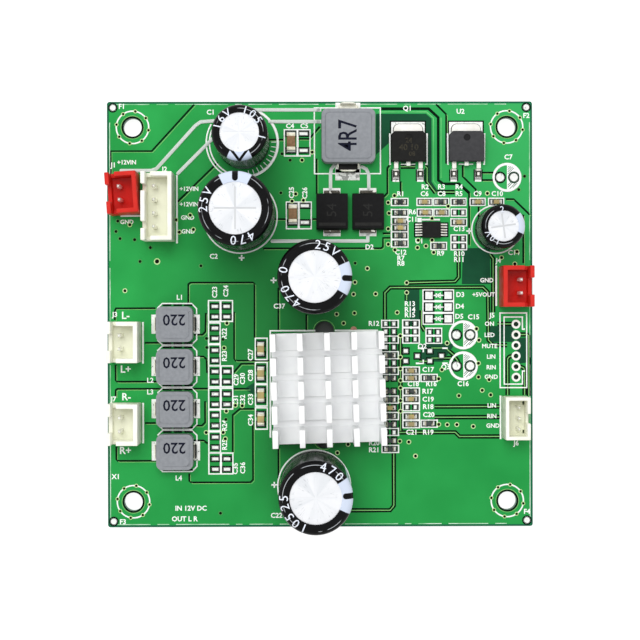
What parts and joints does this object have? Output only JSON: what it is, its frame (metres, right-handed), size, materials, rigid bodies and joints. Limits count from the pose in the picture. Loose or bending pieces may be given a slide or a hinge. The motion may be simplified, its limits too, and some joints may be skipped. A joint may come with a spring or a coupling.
{
  "type": "audio amplifier board",
  "caption": "Square green circuit board of a stereo audio amplifier, with a pin-fin heat sink, upright capacitors, power inductors and keyed wire headers along its sides.",
  "frame": {"origin": "middle of the four mounting holes, on the board's underside", "axes": "+X to the right edge, +Y to the back edge with the boost inductor, +Z out of the component side"},
  "size_m": [0.08, 0.08, 0.0231],
  "materials": {
    "board_green": "green solder mask on glass-fibre laminate",
    "tinned_metal": "bright tin",
    "pin_metal": "tinned brass wire, square drawn",
    "sink_aluminium": "clear anodised, satin",
    "can_aluminium": "drawn, satin",
    "sleeve_black": "shrunk film sleeve",
    "seal_rubber": "moulded",
    "thermal_rubber": "soft filled silicone",
    "core_grey": "pressed iron powder, matt",
    "chip_black": "moulded epoxy",
    "package_grey": "moulded epoxy",
    "red_nylon": "moulded",
    "cream_nylon": "moulded",
    "ceramic_brown": "fired ceramic",
    "ceramic_tan": "fired ceramic",
    "resistor_grey": "glazed film"
  },
  "bodies": {
    "root": {"circuit_board": "board_green", "solder_pads": "tinned_metal", "solder_joints": "tinned_metal", "heat_sink": "sink_aluminium", "thermal_pad": "thermal_rubber", "amplifier_chip": "chip_black", "amplifier_chip_leads": "tinned_metal", "input_capacitor_can": "can_aluminium", "left_capacitor_can": "can_aluminium", "centre_capacitor_can": "can_aluminium", "lower_capacitor_can": "can_aluminium", "output_capacitor_can": "can_aluminium", "input_capacitor_sleeve": "sleeve_black", "left_capacitor_sleeve": "sleeve_black", "centre_capacitor_sleeve": "sleeve_black", "lower_capacitor_sleeve": "sleeve_black", "output_capacitor_sleeve": "sleeve_black", "input_capacitor_leads": "tinned_metal", "left_capacitor_leads": "tinned_metal", "centre_capacitor_leads": "tinned_metal", "lower_capacitor_leads": "tinned_metal", "output_capacitor_leads": "tinned_metal", "capacitor_seals": "seal_rubber", "boost_inductor_core": "core_grey", "boost_inductor_terminals": "tinned_metal", "filter_inductor_1_core": "core_grey", "filter_inductor_2_core": "core_grey", "filter_inductor_3_core": "core_grey", "filter_inductor_4_core": "core_grey", "filter_inductor_1_terminals": "tinned_metal", "filter_inductor_2_terminals": "tinned_metal", "filter_inductor_3_terminals": "tinned_metal", "filter_inductor_4_terminals": "tinned_metal", "left_rectifier_body": "chip_black", "right_rectifier_body": "chip_black", "left_rectifier_tabs": "tinned_metal", "right_rectifier_tabs": "tinned_metal", "switch_body": "package_grey", "switch_legs": "tinned_metal", "regulator_body": "package_grey", "regulator_legs": "tinned_metal", "driver_chip": "chip_black", "driver_chip_leads": "tinned_metal", "power_header_housing": "red_nylon", "link_header_housing": "cream_nylon", "supply_header_housing": "red_nylon", "left_speaker_header_housing": "cream_nylon", "right_speaker_header_housing": "cream_nylon", "audio_header_housing": "cream_nylon", "power_header_pins": "pin_metal", "link_header_pins": "pin_metal", "supply_header_pins": "pin_metal", "left_speaker_header_pins": "pin_metal", "right_speaker_header_pins": "pin_metal", "audio_header_pins": "pin_metal", "large_ceramic_capacitors": "ceramic_brown", "small_ceramic_capacitors": "ceramic_tan", "chip_resistors": "resistor_grey", "chip_terminals": "tinned_metal"}
  },
  "joints": []
}
